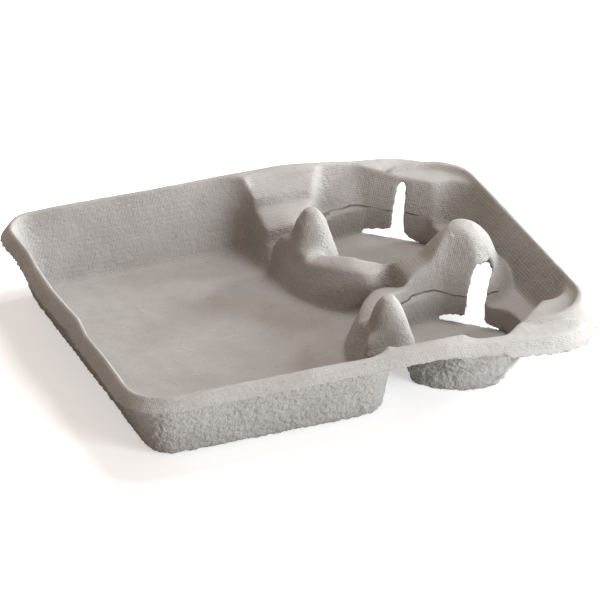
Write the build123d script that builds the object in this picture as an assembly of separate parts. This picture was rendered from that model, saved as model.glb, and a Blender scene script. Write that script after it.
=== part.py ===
from build123d import *
import os
from math import atan, cos, degrees, hypot, radians, sin, tan

os.makedirs("parts", exist_ok=True)

# Driving dimensions, in millimetres
tray_length = 266.0
tray_width = 216.0
rim_height = 42.0
wall = 2.4

# Rim: a fold that turns outward and down into a short skirt
skirt_drop = 7.5
skirt_flare = 5.0
fold_radius = 3.0
core_margin = 0.4
food_corner = 20.0
cup_corner = 38.0
rim_bend_x = 32.0
rim_fall = 0.135
lip_reach = 2.2
lip_thickness = 1.2
lip_start_x = 66.0

# Food basin, measured on its inner floor and walls
basin_left_x = -113.0
basin_right_x = 7.5
basin_right_slope = 0.08
basin_side_margin = 19.5
basin_slope = 0.328
basin_floor_corner = 9.0
basin_floor_fillet = 5.0
basin_floor_chamfer = 3.0
nook_tip_x = 36.0
nook_slope = 0.55
nook_side_margin = 32.0
shoulder_side_margin = 46.0
shoulder_drop = 14.6
nook_side_slope = 0.36
nook_brow_drop = 9.0
nook_brow_slope = 1.2
nook_corner = 4.0

# Cup sockets, one each side of the middle line
socket_x = 65.0
socket_share = 0.463
socket_floor_radius = 33.5
socket_slope = 0.12
crease_height = 17.0
flare_corner = 9.0
pad_angle = 48.6
pad_floor_distance = 28.7
pad_crease_distance = 31.0
pad_slope = 0.45
pad_corner = 2.0
end_flare_distance = 40.0
end_flare_slope = 0.6
back_margin = 16.0
back_flare_slope = 0.6
side_flare_cut = 13.3
side_flare_slope = 0.22
divider_flare_distance = 37.0
divider_flare_slope = 0.3
valley_flare_cut = 16.8
ridge_half_width = 13.5
ridge_flare_slope = 0.38

# Divider between the basin and the sockets
divider_drop = 15.0
divider_floor_radius = 57.0
divider_slope = 0.79
saddle_x = 54.0
saddle_drop = 14.5
saddle_rise = 0.3
saddle_slope = 0.5
saddle_length = 42.0
saddle_overlap = 8.0
saddle_corner = 0.8

# Posts that stand between the cups
post_x = 26.5
post_rise = 2.0
post_top_radius = 2.5
post_least_radius = 0.3
post_neck_radius = 7.5
post_neck_drop = 6.0
post_slope = 0.33
hump_x = 85.5
hump_rise = 7.5
hump_neck_radius = 13.5
hump_neck_drop = 1.0
hump_slope = 0.64
hump_crown_share = 0.45
hump_crown_drop = 1.2

# Cup end: a channel behind the hump and a curb round the corners
channel_height = 14.0
channel_end_x = 111.5
channel_side_margin = 50.0
channel_slope = 0.524
channel_side_slope = 0.5
channel_floor_corner = 12.0
channel_rim_corner = 16.0
curb_drop = 5.5
curb_end_x = 125.5
curb_side_margin = 20.0
curb_start_x = 74.0
curb_corner = 24.0
curb_width = 2.4
curb_depth = 2.5
curb_end_slope = 0.3
curb_side_slope = 1.0
curb_foot = 12.0
recess_end_slope = 0.1
recess_side_slope = 0.3

# Slits that free the gripping pads, more open at the end away from the tray's end
slit_half_length = 19.0
slit_open_height = 2.0
slit_thin_height = 0.5
slit_middle_height = 4.2
corner_slot_foot = 3.6
corner_slot_head = 2.2
hump_slot_foot = 5.0
hump_slot_head = 3.4
slot_head_drop = 10.6
slit_depth = 20.0
slit_sink = 0.6

# Worked-out values
floor_height = wall
half_width = tray_width / 2
overrun = 6.0
corner_room = 0.95
open_height = rim_height + overrun
below = -overrun
far_side = half_width
fold_slope = skirt_flare / skirt_drop
fold_half_width = half_width - skirt_flare
basin_half_width = half_width - basin_side_margin
nook_half_width = half_width - nook_side_margin
shoulder_half_width = half_width - shoulder_side_margin
socket_y = half_width * socket_share
back_flare_distance = fold_half_width - socket_y - back_margin
ridge_flare_distance = socket_y - ridge_half_width
channel_half_width = half_width - channel_side_margin
curb_half_width = half_width - curb_side_margin
shoulder_height = rim_height - shoulder_drop
nook_brow_height = rim_height - nook_brow_drop
divider_height = rim_height - divider_drop
saddle_height = rim_height - saddle_drop
post_height = rim_height + post_rise
post_neck_height = rim_height - post_neck_drop
hump_height = rim_height + hump_rise
hump_neck_height = rim_height - hump_neck_drop
curb_height = rim_height - curb_drop
slot_head_height = rim_height - slot_head_drop - floor_height
half_turn = cos(radians(45))
side_flare_distance = (back_flare_distance + divider_flare_distance) * half_turn - side_flare_cut
valley_flare_distance = (ridge_flare_distance + divider_flare_distance) * half_turn - valley_flare_cut
fold_left_x = skirt_flare - tray_length / 2
tilt = degrees(atan(rim_fall))
bend = Pos(rim_bend_x, 0, rim_height) * Rot(0, tilt, 0)
fall_run = tray_length / 2 - rim_bend_x + (skirt_drop - lip_thickness) * sin(radians(tilt))
fall_reach = fall_run / cos(radians(tilt)) - skirt_flare - lip_reach
cap_depth = 2 * rim_height
from_floor = (Align.CENTER, Align.CENTER, Align.MIN)


def spread(slope, grow):
    """Sideways shift of a leaning wall that moves out by grow along its normal."""
    return grow * hypot(1.0, slope)


def ring_of_sides(sides, height, grow):
    """Corner points of a polygon whose sides lean: each side is angle, distance, slope, start height."""
    lines = []
    for angle, distance, slope, start in sides:
        reach = distance + slope * (height - start) + spread(slope, grow)
        lines.append((cos(radians(angle)), sin(radians(angle)), reach))
    points = []
    for (ax, ay, ad), (bx, by, bd) in zip(lines, lines[1:] + lines[:1]):
        cross = ax * by - ay * bx
        points.append(((ad * by - bd * ay) / cross, (ax * bd - bx * ad) / cross))
    return points


def widest_corner(points):
    """Largest corner radius that every side of a polygon has room for."""
    count = len(points)
    steps = [Vector(*points[(i + 1) % count]) - Vector(*points[i]) for i in range(count)]
    turns = [tan(radians(steps[i - 1].get_angle(steps[i])) / 2) for i in range(count)]
    return min(steps[i].length / (turns[i] + turns[(i + 1) % count]) for i in range(count))


def leaning_block(sides, low, high, low_corner, high_corner, grow=0.0):
    """Solid between two heights with rounded corners and a lean of its own for each side."""
    faces = []
    for height, corner in ((low, low_corner), (high, high_corner)):
        points = ring_of_sides(sides, height, grow)
        outline = make_face(Polyline(*points, close=True))
        radius = min(corner, corner_room * widest_corner(points))
        faces.append(Pos(0, 0, height) * fillet(outline.vertices(), radius))
    return loft(faces, ruled=True)


def rim_plan(left, right, corner, side, extra):
    """Rectangle between two ends with both corners of one end rounded, widened by extra."""
    span = right - left + 2 * extra
    plate = Pos((left + right) / 2, 0) * Rectangle(span, 2 * (fold_half_width + extra))
    ends = plate.vertices().group_by(Axis.X)[side]
    return fillet(ends, corner + extra)


def rim_cap(left, right, corner, side, grow):
    """Block under one plane of the rim: a rounded fold above a skirt that runs down deep."""
    faces = []
    for depth in (grow, cap_depth):
        extra = depth * fold_slope - spread(fold_slope, grow)
        faces.append(Pos(0, 0, -depth) * rim_plan(left, right, corner, side, extra))
    cap = loft(faces, ruled=True)
    if grow > 0:
        return cap
    return fillet(cap.faces().sort_by(Axis.Z)[-1].edges(), fold_radius)


def under_rim(depth):
    """Everything that lies deeper than depth below both planes of the rim."""
    slab = Box(3 * tray_length, 3 * tray_length, cap_depth, align=(Align.CENTER, Align.CENTER, Align.MAX))
    return (Pos(0, 0, rim_height - depth) * slab) & (bend * Pos(0, 0, -depth) * slab)


def rim_block(grow):
    """Fold and skirt, level round the food end and falling toward the cup end, over a plain core."""
    foot = skirt_drop if grow == 0 else skirt_drop + wall
    level = Pos(0, 0, rim_height) * rim_cap(fold_left_x, fold_left_x + 2 * tray_length, food_corner, 0, grow)
    falling = bend * rim_cap(fall_reach - 2 * tray_length, fall_reach, cup_corner, -1, grow)
    skirt = (level & falling) - under_rim(foot)
    margin = core_margin if grow == 0 else 2 * core_margin
    right = rim_bend_x + fall_reach * cos(radians(tilt))
    plan = rim_plan(fold_left_x, right + tray_length, food_corner, 0, margin)
    plan = plan & rim_plan(fold_left_x - tray_length, right, cup_corner, -1, margin)
    core = Pos(0, 0, below) * extrude(plan, rim_height) & under_rim(foot - core_margin)
    return skirt + core + lip() if grow == 0 else skirt + core


def lip():
    """Thin edge turned out at the foot of the skirt round the cup end."""
    plan = rim_plan(fall_reach - tray_length, fall_reach, cup_corner, -1, skirt_flare + lip_reach)
    ahead = Pos(lip_start_x - rim_bend_x + tray_length, 0) * Rectangle(2 * tray_length, 2 * tray_length)
    return bend * Pos(0, 0, -skirt_drop) * extrude(plan & ahead, lip_thickness)


def curb(grow):
    """Raised curb that closes the corners of the cup end above the falling rim."""
    sides = [(0, curb_end_x, -curb_end_slope, curb_height), (90, curb_half_width, -curb_side_slope, curb_height),
             (180, -curb_start_x, -curb_side_slope, curb_height),
             (270, curb_half_width, -curb_side_slope, curb_height)]
    foot = curb_height - curb_foot
    return leaning_block(sides, foot, curb_height - grow, curb_corner, curb_corner - grow, -grow)


def basin(grow):
    """Food basin with leaning walls and a rounded floor edge."""
    sides = [(0, basin_right_x, basin_right_slope, floor_height), (90, basin_half_width, basin_slope, floor_height),
             (180, -basin_left_x, basin_slope, floor_height), (270, basin_half_width, basin_slope, floor_height)]
    low = floor_height - grow
    body = leaning_block(sides, low, open_height, basin_floor_corner + grow, food_corner, grow)
    floor_edges = body.faces().sort_by(Axis.Z)[0].edges()
    return fillet(floor_edges, basin_floor_fillet) if grow == 0 else chamfer(floor_edges, basin_floor_chamfer)


def nook(grow):
    """Bay of the basin that reaches between the sockets, wider above a shoulder, less the craters in it."""
    bays = []
    for half, low in ((shoulder_half_width, floor_height), (nook_half_width, shoulder_height)):
        sides = [(0, nook_tip_x, nook_slope, floor_height), (90, half, nook_side_slope, floor_height),
                 (180, -basin_left_x / 2, 0.0, 0.0), (270, half, nook_side_slope, floor_height)]
        bays.append(leaning_block(sides, low - grow, open_height, nook_corner, nook_corner, grow))
    brow_width = nook_half_width + nook_side_slope * (nook_brow_height - floor_height)
    tip = nook_tip_x + nook_slope * (nook_brow_height - floor_height)
    brow_sides = [(0, tip, nook_slope, nook_brow_height), (90, brow_width, nook_brow_slope, nook_brow_height),
                  (180, -basin_right_x, 0.0, 0.0), (270, brow_width, nook_brow_slope, nook_brow_height)]
    brow = leaning_block(brow_sides, nook_brow_height - grow, rim_height + wall, nook_corner, nook_corner, grow)
    return bays[0] + bays[1] + brow - craters(grow)


def craters(grow):
    """Cone-shaped bank round each socket."""
    top = divider_height - grow
    shift = spread(divider_slope, grow)
    low_radius = divider_floor_radius - divider_slope * (below - floor_height) - shift
    high_radius = divider_floor_radius - divider_slope * (top - floor_height) - shift
    bank = Pos(socket_x, socket_y, below) * Cone(low_radius, high_radius, top - below, align=from_floor)
    return bank + mirror(bank, Plane.XZ)


def saddle(grow):
    """Room over the ridge that falls from the hump to where the two banks meet."""
    sides = [(0, saddle_length, 0.0, 0.0), (90, socket_y / 2, saddle_slope, 0.0),
             (180, saddle_overlap, 0.0, 0.0), (270, socket_y / 2, saddle_slope, 0.0)]
    room = leaning_block(sides, -grow, rim_height - saddle_height, saddle_corner, saddle_corner, grow)
    return Pos(saddle_x, 0, saddle_height) * Rot(0, -degrees(atan(saddle_rise)), 0) * room


def channel(grow):
    """Channel between the hump and the end wall."""
    sides = [(0, channel_end_x, channel_slope, channel_height),
             (90, channel_half_width, channel_side_slope, channel_height),
             (180, hump_neck_radius / 2 - hump_x, 0.0, channel_height),
             (270, channel_half_width, channel_side_slope, channel_height)]
    low = channel_height - grow
    return leaning_block(sides, low, open_height + wall, channel_floor_corner, channel_rim_corner, grow)


def recess(grow):
    """Flat shoulder inside the curb."""
    inner = curb_half_width - curb_width
    sides = [(0, curb_end_x - curb_width, recess_end_slope, curb_height), (90, inner, recess_side_slope, curb_height),
             (180, -socket_x, 0.0, curb_height), (270, inner, recess_side_slope, curb_height)]
    return leaning_block(sides, curb_height - curb_depth - grow, open_height, curb_corner, curb_corner, grow)


def hump(grow):
    """Rounded post between the two sockets."""
    shift = spread(hump_slope, grow)
    foot = channel_height - 2 * wall
    foot_radius = hump_neck_radius + hump_slope * (hump_neck_height - foot) - shift
    neck = (hump_neck_radius - shift, hump_neck_height)
    crown = (0, hump_height - grow)
    side_line = Line((foot_radius, foot), neck)
    dome = TangentArc(neck, (neck[0] * hump_crown_share, hump_height - grow - hump_crown_drop), tangent=side_line % 1)
    top = Line(dome @ 1, crown)
    axis = Line(crown, (0, foot))
    base = Line((0, foot), (foot_radius, foot))
    half = make_face([side_line, dome, top, axis, base])
    return Pos(hump_x, 0, 0) * revolve(Plane.XZ * half, Axis.Z)


def socket(grow):
    """Cup socket on the +Y side: a steep lower part and a wider faceted flare above a crease."""
    shift = spread(socket_slope, grow)
    low = floor_height - grow
    rise = crease_height + wall - low
    foot_radius = socket_floor_radius + shift - socket_slope * grow
    lower = Pos(0, 0, low) * Cone(foot_radius, foot_radius + socket_slope * rise, rise, align=from_floor)
    pad_lean = (pad_crease_distance - pad_floor_distance) / (crease_height - floor_height)
    lower_pads = [(pad_angle, pad_floor_distance, pad_lean, floor_height), (180, far_side, 0.0, 0.0),
                  (-pad_angle, pad_floor_distance, pad_lean, floor_height)]
    lower = lower & leaning_block(lower_pads, low, low + rise, pad_corner, pad_corner, grow)
    flare_sides = [(0, end_flare_distance, end_flare_slope), (pad_angle, pad_crease_distance, pad_slope),
                   (90, back_flare_distance, back_flare_slope), (135, side_flare_distance, side_flare_slope),
                   (180, divider_flare_distance, divider_flare_slope),
                   (225, valley_flare_distance, divider_flare_slope),
                   (270, ridge_flare_distance, ridge_flare_slope), (-pad_angle, pad_crease_distance, pad_slope)]
    flare = leaning_block([(*side, crease_height) for side in flare_sides], crease_height - grow,
                          open_height, flare_corner, flare_corner, grow)
    return Pos(socket_x, socket_y, 0) * (lower + flare)


def post(grow):
    """Tapered post on the divider beside each socket."""
    shift = spread(post_slope, grow)
    foot_radius = post_neck_radius + post_slope * (post_neck_height - below) - shift
    outline = Polyline((0, below), (foot_radius, below), (post_neck_radius - shift, post_neck_height),
                       (max(post_top_radius - grow, post_least_radius), post_height - grow), (0, post_height - grow), close=True)
    return Pos(post_x, socket_y, 0) * revolve(Plane.XZ * make_face(outline), Axis.Z)


def hollow(grow):
    """All that is open above the tray's upper face."""
    mound = hump(grow)
    room = channel(grow) + recess(grow) + saddle(grow) - mound
    hole = socket(grow)
    return room + hole + mirror(hole, Plane.XZ) + nook(grow) + basin(grow)


def filled_tray(grow):
    """Everything under the tray's upper face, moved in by grow."""
    body = rim_block(grow) + curb(grow) + hump(grow)
    body = body - hollow(grow)
    pin = post(grow)
    return body + pin + mirror(pin, Plane.XZ)


def pad_slit(foot, head):
    """Bar with the section of one slit, an upside-down T that is thin toward -Y and open toward +Y."""
    outline = Polyline((-slit_half_length, -slit_sink), (slit_half_length, -slit_sink),
                       (slit_half_length, slit_open_height), (foot, slit_middle_height), (head, slot_head_height),
                       (-head, slot_head_height), (-foot, slit_middle_height),
                       (-slit_half_length, slit_thin_height), close=True)
    bar = extrude(Plane.YZ * make_face(outline), slit_depth)
    return Pos(pad_floor_distance - slit_sink, 0, floor_height) * bar


def pad_slits():
    """Slits in the gripping pads of both sockets, the thin ends toward the tray's end."""
    corner = Rot(0, 0, pad_angle) * pad_slit(corner_slot_foot, corner_slot_head)
    inner = Rot(0, 0, -pad_angle) * mirror(pad_slit(hump_slot_foot, hump_slot_head), Plane.XZ)
    pair = [Pos(socket_x, socket_y, 0) * corner, Pos(socket_x, socket_y, 0) * inner]
    return pair + [mirror(cut, Plane.XZ) for cut in pair]


tray = filled_tray(0.0) - filled_tray(wall)
tray = tray - pad_slits()
export_step(tray, "parts/carrier_tray.step")
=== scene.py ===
import bpy
import math
import numpy as np
from mathutils import Matrix, Vector


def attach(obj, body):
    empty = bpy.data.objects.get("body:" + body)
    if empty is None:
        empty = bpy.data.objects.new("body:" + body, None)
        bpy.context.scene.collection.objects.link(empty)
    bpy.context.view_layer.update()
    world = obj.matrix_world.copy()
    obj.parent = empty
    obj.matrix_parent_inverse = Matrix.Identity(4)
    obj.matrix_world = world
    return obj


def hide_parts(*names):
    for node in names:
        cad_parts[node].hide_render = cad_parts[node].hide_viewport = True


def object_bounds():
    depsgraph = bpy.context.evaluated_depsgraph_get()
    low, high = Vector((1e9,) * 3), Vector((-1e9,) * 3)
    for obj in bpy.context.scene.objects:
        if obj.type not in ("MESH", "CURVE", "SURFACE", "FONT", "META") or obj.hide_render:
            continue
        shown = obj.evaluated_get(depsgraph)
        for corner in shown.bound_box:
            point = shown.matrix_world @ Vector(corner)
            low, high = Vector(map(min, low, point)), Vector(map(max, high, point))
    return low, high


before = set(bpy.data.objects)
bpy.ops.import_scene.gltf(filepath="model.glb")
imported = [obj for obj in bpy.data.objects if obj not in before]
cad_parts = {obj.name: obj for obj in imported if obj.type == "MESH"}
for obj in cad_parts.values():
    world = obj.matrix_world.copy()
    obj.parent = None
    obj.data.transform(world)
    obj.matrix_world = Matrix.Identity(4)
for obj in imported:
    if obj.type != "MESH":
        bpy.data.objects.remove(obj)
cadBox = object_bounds()
print("frame loaded", cadBox)


# small helpers

def selectOnly(piece):
    if bpy.context.object and bpy.context.object.mode != "OBJECT":
        bpy.ops.object.mode_set(mode="OBJECT")
    bpy.ops.object.select_all(action="DESELECT")
    piece.select_set(True)
    bpy.context.view_layer.objects.active = piece


def applyModifier(piece, name, kind, **values):
    selectOnly(piece)
    modifier = piece.modifiers.new(name, kind)
    for key, value in values.items():
        setattr(modifier, key, value)
    bpy.ops.object.modifier_apply(modifier=name)


def rising(values, edges):
    # 0 up to the first edge, 1 from the second, smooth between them
    share = np.clip((values - edges[0]) / (edges[1] - edges[0]), 0.0, 1.0)
    return share * share * (3.0 - 2.0 * share)


def falling(values, edges):
    return 1.0 - rising(values, edges)


def cloudTexture(name, size, depth):
    texture = bpy.data.textures.new(name, "CLOUDS")
    texture.noise_scale = size
    texture.noise_depth = depth
    texture.noise_basis = "ORIGINAL_PERLIN"
    return texture


def readVertices(piece, field):
    flat = np.empty(3 * len(piece.data.vertices))
    piece.data.vertices.foreach_get(field, flat)
    return flat.reshape(-1, 3)


def placeVertices(piece, points):
    piece.data.vertices.foreach_set("co", points.ravel())
    piece.data.update()


def paintGroup(piece, name, weights, steps=20):
    group = piece.vertex_groups.new(name=name)
    levels = np.round(weights * steps).astype(int)
    for level in range(1, steps + 1):
        chosen = np.nonzero(levels == level)[0]
        if len(chosen):
            group.add(chosen.tolist(), level / steps, "REPLACE")


def paintAttribute(piece, name, values):
    attribute = piece.data.attributes.new(name, "FLOAT", "POINT")
    attribute.data.foreach_set("value", values.astype(np.float32))


# the moulded tray; lengths in metres, and a pair is where a form fades in or out

traySettings = {
    "mergeDistance": 0.00004,
    "voxel": 0.0009,
    "softenRounds": 8,
    "softenFactor": 0.5,
    "mostTriangles": 190000,
    "sockets": [(0.065, 0.050), (0.065, -0.050)],
    "pads": [((0.065, 0.050), 48.6), ((0.065, 0.050), -48.6),
             ((0.065, -0.050), 48.6), ((0.065, -0.050), -48.6)],
    "fork": {"shift": 0.011, "side": (0.008, 0.022), "floor": (0.003, 0.010),
             "basin": (0.012, 0.020), "hump": (0.036, 0.066)},
    "bank": {"foot": 0.0572, "lean": 0.33, "endLean": 0.10, "floor": 0.0024, "crest": 0.0385,
             "top": 0.0255, "topRise": 0.0018, "topFade": 0.0006, "outward": 0.15, "upright": -0.05,
             "run": (0.050, 0.062), "pastEnd": 0.0012, "endFace": 0.005, "endFacing": -0.3,
             "fork": (0.003, 0.012), "cupEnd": (0.044, 0.056)},
    "bankRoll": {"drop": 0.0016, "width": 0.011, "most": 1.2, "fork": (0.004, 0.014), "end": (0.046, 0.062),
                 "cupEnd": (0.040, 0.052), "low": (0.012, 0.020), "high": (0.029, 0.034)},
    "hump": {"place": (0.084, 0.0), "reach": (0.0204, 0.034), "shoulder": 0.038, "squash": 0.20,
             "lean": 0.0027, "leanHeight": (0.024, 0.040)},
    "ridge": {"rounds": 20, "inner": (0.036, 0.039), "outer": (0.056, 0.060), "low": (0.006, 0.010),
              "high": (0.029, 0.033), "cupEnd": (0.052, 0.060),
              "spots": [((0.016, 0.057, 0.026), 0.012), ((0.016, -0.057, 0.026), 0.012),
                        ((0.034, 0.021, 0.025), 0.013), ((0.034, -0.021, 0.025), 0.013),
                        ((0.052, 0.0, 0.026), 0.020), ((0.070, 0.0, 0.034), 0.013),
                        ((0.086, 0.0, 0.047), 0.012)]},
    "ledge": {"drop": 0.0045, "inner": (0.056, 0.061), "outer": (0.068, 0.086), "low": (0.010, 0.024),
              "high": (0.029, 0.036), "basin": (-0.004, 0.004), "cupEnd": (0.030, 0.040)},
    "ledgeSoft": {"rounds": 6, "inner": (0.054, 0.060), "outer": (0.096, 0.102), "low": (0.012, 0.018),
                  "high": (0.034, 0.040), "basin": (-0.002, 0.004), "cupEnd": (0.034, 0.044)},
    "postTip": {"places": [(0.0265, 0.050), (0.0265, -0.050)], "height": 0.0415, "reach": 0.010,
                "squash": 0.65},
    "slitEdge": {"outward": (0.022, 0.025), "along": (0.018, 0.022), "high": (0.033, 0.037)},
    "thinSlit": {"drop": 0.0024, "inner": (0.024, 0.026), "outer": (0.034, 0.036), "start": (0.0035, 0.006),
                 "end": (0.022, 0.026), "floor": 0.0026, "high": (0.004, 0.014)},
    "rimWave": {"reach": (0.112, 0.126), "high": (0.024, 0.038),
                "shifts": [(-0.085, -0.0012), (-0.052, -0.0006), (-0.029, -0.0010), (-0.011, 0.0011),
                           (-0.003, 0.0002), (0.020, -0.0010), (0.041, -0.0002), (0.065, 0.0020),
                           (0.090, 0.0012)]},
    "sides": {"under": (0.02, 0.16), "level": (0.55, 0.9)},
    "tornSpots": [((0.072, -0.081, 0.008), 0.014)],
    "spotCore": 0.4,
    "sag": {"size": 0.055, "depth": 1, "height": 0.0012, "group": ""},
    "felt": {"size": 0.0026, "depth": 2, "height": 0.0026, "group": "felt"},
    "feltFine": {"size": 0.0014, "depth": 1, "height": 0.0012, "group": "felt"},
    "skin": {"size": 0.007, "depth": 2, "height": 0.0006, "group": "skin"},
    "torn": {"size": 0.0030, "depth": 2, "height": 0.0040, "group": "torn"},
    "cracks": {"depth": 0.006, "tip": 0.15,
               "places": [((-0.134, 0.0373, 0.0345), 0.0010, 0.008),
                          ((-0.134, -0.0146, 0.0340), 0.0012, 0.010),
                          ((-0.136, -0.0800, 0.0360), 0.0022, 0.014)]},
    # the band round each socket where the finish paints shade along a crack line
    "crease": {"inner": (0.026, 0.028), "outer": (0.041, 0.044)},
}


def copyTraySolid():
    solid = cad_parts["carrier_tray"]
    mesh = solid.data.copy()
    mesh.transform(solid.matrix_world)
    mesh.materials.clear()
    tray = bpy.data.objects.new("pulpTray", mesh)
    bpy.context.scene.collection.objects.link(tray)
    selectOnly(tray)
    bpy.ops.object.mode_set(mode="EDIT")
    bpy.ops.mesh.select_all(action="SELECT")
    bpy.ops.mesh.remove_doubles(threshold=traySettings["mergeDistance"])
    bpy.ops.object.mode_set(mode="OBJECT")
    return tray


def evenMesh(tray, name):
    applyModifier(tray, name, "REMESH", mode="VOXEL", voxel_size=traySettings["voxel"], use_smooth_shade=True)


def smoothGroup(tray, group, weights, rounds):
    paintGroup(tray, group, weights)
    applyModifier(tray, group + "Soft", "SMOOTH", factor=traySettings["softenFactor"], iterations=rounds,
                  vertex_group=group)


def nearSpots(points, spots):
    weights = np.zeros(len(points))
    for place, reach in spots:
        gap = np.linalg.norm(points - np.array(place), axis=1)
        weights = np.maximum(weights, falling(gap, (traySettings["spotCore"] * reach, reach)))
    return weights


def flatGap(points, place):
    return np.linalg.norm(points[:, :2] - np.array(place), axis=1)


def moveFork(tray):
    # the fork where the two banks meet lies close to the hump
    values = traySettings["fork"]
    points = readVertices(tray, "co")
    share = falling(np.abs(points[:, 1]), values["side"]) * rising(points[:, 2], values["floor"])
    share *= falling(points[:, 0], values["hump"]) * rising(points[:, 0], values["basin"])
    points[:, 0] += values["shift"] * share
    placeVertices(tray, points)


def bankSpokes(points, socket):
    # past the socket's middle line the bank runs straight on to the side wall
    side = points[:, 1] * np.sign(socket[1])
    spoke = points[:, :2] - np.array(socket)
    spoke[:, 1] *= side < abs(socket[1])
    gap = np.linalg.norm(spoke, axis=1)
    return side, spoke / gap[:, None], gap


def fillBanks(tray):
    # toward the basin the bank round each socket stands steep
    values = traySettings["bank"]
    points = readVertices(tray, "co")
    normals = readVertices(tray, "normal")
    end = values["run"][1]
    for socket in traySettings["sockets"]:
        side, spoke, gap = bankSpokes(points, socket)
        past = rising(side, values["run"])
        outward = normals[:, 0] * spoke[:, 0] + normals[:, 1] * spoke[:, 1]
        inward = normals[:, 1] * np.sign(socket[1]) < values["endFacing"]
        facing = (outward > values["outward"]) | ((side > end - values["endFace"]) & inward)
        share = rising(side, values["fork"]) * (side < end + values["pastEnd"])
        share *= falling(points[:, 0], values["cupEnd"])
        share *= facing * (normals[:, 2] > values["upright"]) * (gap > values["crest"])
        share *= falling(points[:, 2] - values["top"] - past * values["topRise"], (0.0, values["topFade"]))
        lean = values["lean"] * (1.0 - past) + values["endLean"] * past
        push = np.maximum(values["foot"] - lean * (points[:, 2] - values["floor"]) - gap, 0.0) * share
        points[:, :2] += spoke * push[:, None]
    placeVertices(tray, points)


def rollBanks(tray):
    # the top of each bank rolls off toward the basin
    values = traySettings["bankRoll"]
    points = readVertices(tray, "co")
    for socket in traySettings["sockets"]:
        side, _, gap = bankSpokes(points, socket)
        share = rising(side, values["fork"]) * falling(side, values["end"])
        share *= falling(points[:, 0], values["cupEnd"])
        share *= rising(points[:, 2], values["low"]) * falling(points[:, 2], values["high"])
        roll = np.clip((gap - traySettings["bank"]["crest"]) / values["width"], 0.0, values["most"])
        points[:, 2] -= values["drop"] * roll ** 2 * share
    placeVertices(tray, points)


def settleHump(tray):
    # the crown of the hump is low and blunt and leans a little toward the cup end
    values = traySettings["hump"]
    points = readVertices(tray, "co")
    share = falling(flatGap(points, values["place"]), values["reach"])
    rise = np.maximum(points[:, 2] - values["shoulder"], 0.0)
    points[:, 2] -= rise * values["squash"] * share
    points[:, 0] += values["lean"] * share * rising(points[:, 2], values["leanHeight"])
    placeVertices(tray, points)


def padPlace(points, socket, turn):
    # distance out from the socket's middle, and along the pad toward the tray's end
    away = (math.cos(math.radians(turn)), math.sin(math.radians(turn)))
    east, north = points[:, 0] - socket[0], points[:, 1] - socket[1]
    outward = east * away[0] + north * away[1]
    along = east * abs(away[1]) - north * away[0] * math.copysign(1.0, away[1])
    return outward, along


def softenWalls(tray):
    # the torn edges of the slits stay firm while the rest of the sheet softens
    values = traySettings["slitEdge"]
    points = readVertices(tray, "co")
    firm = np.zeros(len(points))
    for socket, turn in traySettings["pads"]:
        outward, along = padPlace(points, socket, turn)
        zone = rising(outward, values["outward"]) * falling(np.abs(along), values["along"])
        firm = np.maximum(firm, zone * falling(points[:, 2], values["high"]))
    smoothGroup(tray, "loose", 1.0 - firm, traySettings["softenRounds"])


def softenRidges(tray):
    # where the ridges meet, and along each bank, the wet pulp has rounded over
    values = traySettings["ridge"]
    points = readVertices(tray, "co")
    weights = nearSpots(points, values["spots"])
    for socket in traySettings["sockets"]:
        gap = flatGap(points, socket)
        ring = rising(gap, values["inner"]) * falling(gap, values["outer"])
        ring *= rising(points[:, 2], values["low"]) * falling(points[:, 2], values["high"])
        weights = np.maximum(weights, ring * falling(points[:, 0], values["cupEnd"]))
    smoothGroup(tray, "ridge", weights, values["rounds"])


def ledgeZone(points, values):
    side = np.abs(points[:, 1])
    zone = rising(side, values["inner"]) * falling(side, values["outer"])
    zone *= rising(points[:, 2], values["low"]) * falling(points[:, 2], values["high"])
    return zone * rising(points[:, 0], values["basin"]) * falling(points[:, 0], values["cupEnd"])


def slopeLedges(tray):
    # the ledge beside each post slopes down toward the middle and runs softly into the side wall
    points = readVertices(tray, "co")
    points[:, 2] -= traySettings["ledge"]["drop"] * ledgeZone(points, traySettings["ledge"])
    placeVertices(tray, points)
    soft = traySettings["ledgeSoft"]
    smoothGroup(tray, "ledge", ledgeZone(points, soft), soft["rounds"])


def bluntPosts(tray):
    # the tips of the posts are flattened
    values = traySettings["postTip"]
    points = readVertices(tray, "co")
    for place in values["places"]:
        near = flatGap(points, place) < values["reach"]
        points[:, 2] -= np.maximum(points[:, 2] - values["height"], 0.0) * near * values["squash"]
    placeVertices(tray, points)


def closeThinSlits(tray):
    # the half of each slit that lies toward the tray's end hangs almost shut
    values = traySettings["thinSlit"]
    points = readVertices(tray, "co")
    for socket, turn in traySettings["pads"]:
        outward, along = padPlace(points, socket, turn)
        zone = rising(outward, values["inner"]) * falling(outward, values["outer"])
        zone *= rising(along, values["start"]) * falling(along, values["end"])
        zone *= (points[:, 2] > values["floor"]) * falling(points[:, 2], values["high"])
        points[:, 2] -= values["drop"] * zone
    placeVertices(tray, points)


def waveLeftRim(tray):
    # the free rim of the food end has dried a little in and out
    values = traySettings["rimWave"]
    points = readVertices(tray, "co")
    along, shift = zip(*values["shifts"])
    share = rising(-points[:, 0], values["reach"]) * rising(points[:, 2], values["high"])
    points[:, 0] += share * np.interp(points[:, 1], along, shift)
    placeVertices(tray, points)


def markSides(tray):
    # the felt side is the underside of the sheet, the screen side is its upper face
    values = traySettings["sides"]
    normals = readVertices(tray, "normal")
    points = readVertices(tray, "co")
    under = rising(-normals[:, 2], values["under"])
    paintGroup(tray, "felt", under)
    paintGroup(tray, "skin", 1.0 - under)
    paintGroup(tray, "wall", (1.0 - under) * falling(normals[:, 2], values["level"]))
    paintGroup(tray, "torn", nearSpots(points, traySettings["tornSpots"]) * under)


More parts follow.
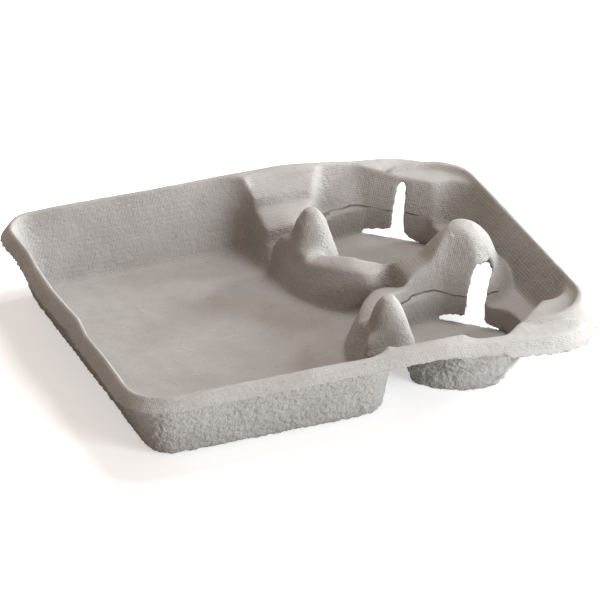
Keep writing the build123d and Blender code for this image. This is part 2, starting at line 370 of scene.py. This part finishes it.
def roughen(tray, name):
    values = traySettings[name]
    texture = cloudTexture(name + "Noise", values["size"], values["depth"])
    applyModifier(tray, name, "DISPLACE", texture=texture, texture_coords="LOCAL", direction="NORMAL",
                  strength=values["height"], mid_level=0.5, vertex_group=values["group"])


def standOnFloor(tray):
    points = readVertices(tray, "co")
    points[:, 2] = np.maximum(points[:, 2], 0.0)
    placeVertices(tray, points)


def thinMesh(tray):
    triangles = 2 * len(tray.data.polygons)
    if triangles > traySettings["mostTriangles"]:
        applyModifier(tray, "thin", "DECIMATE", ratio=traySettings["mostTriangles"] / triangles)


def crackCutter(place, width, height):
    # a narrow wedge, wide at its foot, turned square to the skirt
    values = traySettings["cracks"]
    bpy.ops.object.select_all(action="DESELECT")
    bpy.ops.mesh.primitive_cone_add(vertices=4, radius1=1.0, radius2=values["tip"], depth=1.0, location=place,
                                    rotation=(0.0, 0.0, math.radians(45)))
    cutter = bpy.context.object
    bpy.ops.object.transform_apply(location=False, rotation=True, scale=False)
    cutter.scale = (values["depth"], width, height)
    bpy.ops.object.transform_apply(location=True, rotation=False, scale=True)
    return cutter


def crackSkirt(tray):
    # small splits where the skirt of the food end was pulled from the mould
    cutters = [crackCutter(*crack) for crack in traySettings["cracks"]["places"]]
    selectOnly(cutters[0])
    for cutter in cutters:
        cutter.select_set(True)
    bpy.ops.object.join()
    applyModifier(tray, "cracks", "BOOLEAN", operation="DIFFERENCE", object=cutters[0], solver="EXACT")
    bpy.data.objects.remove(cutters[0])


def groupWeights(tray, name):
    index = tray.vertex_groups[name].index
    weights = np.zeros(len(tray.data.vertices))
    for vertex in tray.data.vertices:
        for part in vertex.groups:
            if part.group == index:
                weights[vertex.index] = part.weight
    return weights


def keepSideAttributes(tray):
    # what the finish needs to know of each place: felt side, steep wall, crease round a socket, where painted
    # shade darkens a crack line
    values = traySettings["crease"]
    felt = groupWeights(tray, "felt")
    paintAttribute(tray, "feltSide", felt)
    paintAttribute(tray, "wallSide", groupWeights(tray, "wall"))
    points = readVertices(tray, "co")
    crease = np.zeros(len(points))
    for socket in traySettings["sockets"]:
        gap = flatGap(points, socket)
        crease = np.maximum(crease, rising(gap, values["inner"]) * falling(gap, values["outer"]))
    paintAttribute(tray, "creaseBand", crease * (1.0 - felt))
    tray.vertex_groups.clear()


def buildTray():
    tray = copyTraySolid()
    evenMesh(tray, "even")
    moveFork(tray)
    fillBanks(tray)
    rollBanks(tray)
    settleHump(tray)
    evenMesh(tray, "evenAgain")
    print("tray remeshed", len(tray.data.polygons))
    softenWalls(tray)
    softenRidges(tray)
    slopeLedges(tray)
    bluntPosts(tray)
    closeThinSlits(tray)
    waveLeftRim(tray)
    markSides(tray)
    for name in ("sag", "felt", "feltFine", "skin", "torn"):
        roughen(tray, name)
    standOnFloor(tray)
    thinMesh(tray)
    crackSkirt(tray)
    selectOnly(tray)
    bpy.ops.object.shade_smooth()
    keepSideAttributes(tray)
    print("tray shaped", len(tray.data.polygons))
    return tray


# the pulp finish; a noise is its scale per metre, detail and roughness, and heights are in metres

pulpSettings = {
    "pale": (0.40, 0.383, 0.366, 1.0),
    "dark": (0.335, 0.316, 0.298, 1.0),
    "cloud": {"noise": (38.0, 4.0, 0.6), "edges": (0.3, 0.7)},
    "grain": {"noise": (700.0, 3.0, 0.7), "edges": (0.45, 0.8), "share": 0.4, "height": 0.00016,
              "strength": 0.8},
    "fleck": {"colour": (0.16, 0.14, 0.123, 1.0), "noise": (520.0, 1.0, 0.5), "edges": (0.72, 0.78),
              "share": 0.6},
    "fibre": {"colour": (0.47, 0.456, 0.438, 1.0), "scale": 520.0, "edges": (0.64, 0.74), "share": 0.4,
              "stretch": (0.22, 1.0, 1.0), "turn": (0.0, 0.0, 0.7)},
    # the crack's colour is painted shade inside the crack; its depth is a real shallow groove
    "crack": {"colour": (0.11, 0.09, 0.076, 1.0), "level": 0.0172, "width": (0.00045, 0.00015),
              "wobble": 0.006, "wobbleNoise": (60.0, 2.0, 0.5), "breaks": (45.0, 1.0, 0.5),
              "breakEdges": (0.40, 0.52), "share": 0.75, "depth": 0.0006},
    "wrinkle": {"noise": (22.0, 2.0, 0.45), "edges": (0.012, 0.0), "breaks": (40.0, 1.0, 0.5),
                "breakEdges": (0.5, 0.62), "height": 0.00012},
    "screen": {"pitch": 0.0008, "height": 0.00004},
    "wall": {"noise": (430.0, 2.0, 0.6), "height": 0.0007},
    "felt": {"noise": (480.0, 3.0, 0.65), "height": 0.0020},
    "roughness": 0.95,
    "shine": 0.2,
}


def pulpFinish():
    finish = bpy.data.materials.new("greyPulp")
    finish.use_nodes = True
    tree = finish.node_tree
    tree.nodes.clear()
    link = tree.links.new

    def node(kind, **values):
        made = tree.nodes.new(kind)
        for key, value in values.items():
            setattr(made, key, value)
        return made

    def noise(scale, detail, roughness):
        made = node("ShaderNodeTexNoise")
        made.inputs["Scale"].default_value = scale
        made.inputs["Detail"].default_value = detail
        made.inputs["Roughness"].default_value = roughness
        link(where, made.inputs["Vector"])
        return made.outputs["Fac"]

    def ramp(source, low, high):
        made = node("ShaderNodeMapRange")
        made.inputs["From Min"].default_value = low
        made.inputs["From Max"].default_value = high
        link(source, made.inputs["Value"])
        return made.outputs["Result"]

    def mixColour(share, first, second):
        # sockets 6 and 7 in, and 2 out, are the colour ones
        made = node("ShaderNodeMix", data_type="RGBA")
        link(share, made.inputs["Factor"])
        for socket, colour in ((made.inputs[6], first), (made.inputs[7], second)):
            if isinstance(colour, tuple):
                socket.default_value = colour
            else:
                link(colour, socket)
        return made.outputs[2]

    def sums(operation, *values):
        made = node("ShaderNodeMath", operation=operation)
        for socket, value in zip(made.inputs, values):
            if isinstance(value, float):
                socket.default_value = value
            else:
                link(value, socket)
        return made.outputs[0]

    def attribute(name):
        return node("ShaderNodeAttribute", attribute_name=name).outputs["Fac"]

    def bump(height, distance, strength, below):
        made = node("ShaderNodeBump")
        made.inputs["Distance"].default_value = distance
        if isinstance(strength, float):
            made.inputs["Strength"].default_value = strength
        else:
            link(strength, made.inputs["Strength"])
        link(height, made.inputs["Height"])
        if below:
            link(below, made.inputs["Normal"])
        return made.outputs["Normal"]

    where = node("ShaderNodeTexCoord").outputs["Object"]
    feltSide = attribute("feltSide")
    wallSide = attribute("wallSide")
    skinSide = sums("SUBTRACT", 1.0, feltSide)
    parts = node("ShaderNodeSeparateXYZ")
    link(where, parts.inputs["Vector"])

    # colour: soft clouds, fine grain, dark flecks and pale fibres
    cloud, grain, fleck = pulpSettings["cloud"], pulpSettings["grain"], pulpSettings["fleck"]
    fibre, dark = pulpSettings["fibre"], pulpSettings["dark"]
    grainNoise = noise(*grain["noise"])
    fibreNoise = node("ShaderNodeTexNoise")
    fibreNoise.inputs["Scale"].default_value = fibre["scale"]
    stretch = node("ShaderNodeMapping")
    stretch.inputs["Scale"].default_value = fibre["stretch"]
    stretch.inputs["Rotation"].default_value = fibre["turn"]
    link(where, stretch.inputs["Vector"])
    link(stretch.outputs["Vector"], fibreNoise.inputs["Vector"])
    colour = mixColour(ramp(noise(*cloud["noise"]), *cloud["edges"]), dark, pulpSettings["pale"])
    colour = mixColour(sums("MULTIPLY", ramp(grainNoise, *grain["edges"]), grain["share"]), colour, dark)
    specks = ramp(noise(*fleck["noise"]), *fleck["edges"])
    colour = mixColour(sums("MULTIPLY", specks, fleck["share"]), colour, fleck["colour"])
    hairs = ramp(fibreNoise.outputs["Fac"], *fibre["edges"])
    colour = mixColour(sums("MULTIPLY", hairs, fibre["share"]), colour, fibre["colour"])

    # a fine crack that follows the crease round each socket, its near-black colour painted shade inside the
    # crack and its groove a shallow bump, and faint wrinkles elsewhere
    crack, wrinkle = pulpSettings["crack"], pulpSettings["wrinkle"]
    wobble = sums("MULTIPLY", sums("SUBTRACT", noise(*crack["wobbleNoise"]), 0.5), crack["wobble"])
    offset = sums("ABSOLUTE", sums("SUBTRACT", sums("ADD", parts.outputs["Z"], wobble), crack["level"]))
    crackGrooveAndShade = sums("MULTIPLY", ramp(offset, *crack["width"]), attribute("creaseBand"))
    crackGrooveAndShade = sums("MULTIPLY", crackGrooveAndShade, ramp(noise(*crack["breaks"]), *crack["breakEdges"]))
    # painted shade: along the crack line the colour is mixed toward a near-black that stands in for the shade
    # inside the crack
    colour = mixColour(sums("MULTIPLY", crackGrooveAndShade, crack["share"]), colour, crack["colour"])
    fold = sums("ABSOLUTE", sums("SUBTRACT", noise(*wrinkle["noise"]), 0.5))
    folds = sums("MULTIPLY", ramp(fold, *wrinkle["edges"]),
                 ramp(noise(*wrinkle["breaks"]), *wrinkle["breakEdges"]))

    # the print of the mould's wire screen: crossing sets of fine waves
    screen, wall, felt = pulpSettings["screen"], pulpSettings["wall"], pulpSettings["felt"]
    turns = 2 * math.pi / screen["pitch"]
    waves = [sums("SINE", sums("MULTIPLY", parts.outputs[axis], turns)) for axis in "XYZ"]
    weave = sums("ADD", sums("ADD", waves[0], waves[1]), waves[2])

    # relief, each layer on the one before
    normal = bump(weave, screen["height"], skinSide, None)
    normal = bump(grainNoise, grain["height"], grain["strength"], normal)
    normal = bump(noise(*wall["noise"]), wall["height"], wallSide, normal)
    normal = bump(folds, wrinkle["height"], skinSide, normal)
    normal = bump(sums("SUBTRACT", 1.0, crackGrooveAndShade), crack["depth"], 1.0, normal)
    normal = bump(noise(*felt["noise"]), felt["height"], feltSide, normal)

    surface = node("ShaderNodeBsdfPrincipled")
    surface.inputs["Roughness"].default_value = pulpSettings["roughness"]
    surface.inputs["Specular IOR Level"].default_value = pulpSettings["shine"]
    link(colour, surface.inputs["Base Color"])
    link(normal, surface.inputs["Normal"])
    output = node("ShaderNodeOutputMaterial")
    link(surface.outputs["BSDF"], output.inputs["Surface"])
    return finish


# studio: floor, light, camera

studioSettings = {
    "floorSize": 8.0,
    "floorGap": 0.0002,
    "floorColour": (0.86, 0.86, 0.86, 1.0),
    "floorGlow": 0.52,
    "worldLight": 0.33,
    "worldColour": (1.0, 0.72, 0.52, 1.0),
    "white": (1.0, 1.0, 1.0, 1.0),
    "lampTarget": (0.0, 0.0, 0.02),
    "lamps": [
        {"name": "keyLamp", "place": (1.41, 0.24, 0.46), "size": 0.60, "power": 38.0,
         "colour": (0.93, 1.0, 1.035)},
        {"name": "fillLamp", "place": (0.73, -1.27, 0.32), "size": 0.70, "power": 23.0,
         "colour": (0.93, 1.0, 1.05)},
        {"name": "topLamp", "place": (0.50, 0.20, 1.40), "size": 0.80, "power": 14.0,
         "colour": (0.98, 1.0, 1.02)},
    ],
}


def seenDirectly(tree):
    # what the camera sees, straight, mirrored or through something clear
    path = tree.nodes.new("ShaderNodeLightPath")
    either = path.outputs["Is Camera Ray"]
    for kind in ("Is Glossy Ray", "Is Transmission Ray"):
        more = tree.nodes.new("ShaderNodeMath")
        more.operation = "MAXIMUM"
        tree.links.new(either, more.inputs[0])
        tree.links.new(path.outputs[kind], more.inputs[1])
        either = more.outputs[0]
    return either


def showWhenSeen(tree, plain, seen, outputKind):
    choose = tree.nodes.new("ShaderNodeMixShader")
    output = tree.nodes.new(outputKind)
    tree.links.new(seenDirectly(tree), choose.inputs[0])
    tree.links.new(plain.outputs[0], choose.inputs[1])
    tree.links.new(seen.outputs[0], choose.inputs[2])
    tree.links.new(choose.outputs[0], output.inputs["Surface"])


def buildFloor():
    bpy.ops.object.select_all(action="DESELECT")
    level = cadBox[0][2] - studioSettings["floorGap"]
    bpy.ops.mesh.primitive_plane_add(size=studioSettings["floorSize"], location=(0.0, 0.0, level))
    floor = bpy.context.object
    floor.name = "studioFloor"
    paint = bpy.data.materials.new("studioWhite")
    paint.use_nodes = True
    tree = paint.node_tree
    tree.nodes.clear()
    matt = tree.nodes.new("ShaderNodeBsdfDiffuse")
    matt.inputs["Color"].default_value = studioSettings["floorColour"]
    glow = tree.nodes.new("ShaderNodeEmission")
    glow.inputs["Strength"].default_value = studioSettings["floorGlow"]
    both = tree.nodes.new("ShaderNodeAddShader")
    tree.links.new(matt.outputs[0], both.inputs[0])
    tree.links.new(glow.outputs[0], both.inputs[1])
    showWhenSeen(tree, matt, both, "ShaderNodeOutputMaterial")
    floor.data.materials.append(paint)


def aimedLamp(values):
    lamp = bpy.data.lights.new(values["name"], "AREA")
    lamp.shape = "DISK"
    lamp.size = values["size"]
    lamp.energy = values["power"]
    lamp.color = values["colour"]
    holder = bpy.data.objects.new(values["name"], lamp)
    bpy.context.scene.collection.objects.link(holder)
    place = Vector(values["place"])
    holder.location = place
    holder.rotation_euler = (Vector(studioSettings["lampTarget"]) - place).to_track_quat("-Z", "Y").to_euler()


def buildLight():
    for values in studioSettings["lamps"]:
        aimedLamp(values)
    world = bpy.data.worlds.new("studioWorld")
    bpy.context.scene.world = world
    world.use_nodes = True
    tree = world.node_tree
    tree.nodes.clear()
    soft = tree.nodes.new("ShaderNodeBackground")
    soft.inputs["Strength"].default_value = studioSettings["worldLight"]
    soft.inputs["Color"].default_value = studioSettings["worldColour"]
    white = tree.nodes.new("ShaderNodeBackground")
    white.inputs["Color"].default_value = studioSettings["white"]
    showWhenSeen(tree, soft, white, "ShaderNodeOutputWorld")


cameraSettings = {
    "azimuth": -22.87,
    "elevation": 29.14,
    "roll": 0.59,
    "distance": 2.8244,
    "target": (-0.00057, -0.00003, 0.020),
    "lens": 332.27,
    "sensor": 36.0,
    "farEnd": 30.0,
}


def buildCamera():
    turn = math.radians(cameraSettings["azimuth"])
    rise = math.radians(cameraSettings["elevation"])
    roll = math.radians(cameraSettings["roll"])
    back = Vector((math.sin(turn) * math.cos(rise), -math.cos(turn) * math.cos(rise), math.sin(rise)))
    level = Vector((math.cos(turn), math.sin(turn), 0.0))
    upward = back.cross(level)
    right = level * math.cos(roll) + upward * math.sin(roll)
    data = bpy.data.cameras.new("photoCamera")
    data.sensor_width = cameraSettings["sensor"]
    data.lens = cameraSettings["lens"]
    data.clip_end = cameraSettings["farEnd"]
    camera = bpy.data.objects.new("photoCamera", data)
    bpy.context.scene.collection.objects.link(camera)
    axes = Matrix((right, back.cross(right), back)).transposed()
    place = Vector(cameraSettings["target"]) + back * cameraSettings["distance"]
    camera.matrix_world = Matrix.Translation(place) @ axes.to_4x4()
    bpy.context.scene.camera = camera


tray = buildTray()
tray.data.materials.append(pulpFinish())
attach(tray, "root")
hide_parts("carrier_tray")
print("tray finished")

buildFloor()
buildLight()
buildCamera()
bpy.context.scene.view_settings.view_transform = "Standard"
print("studio ready")
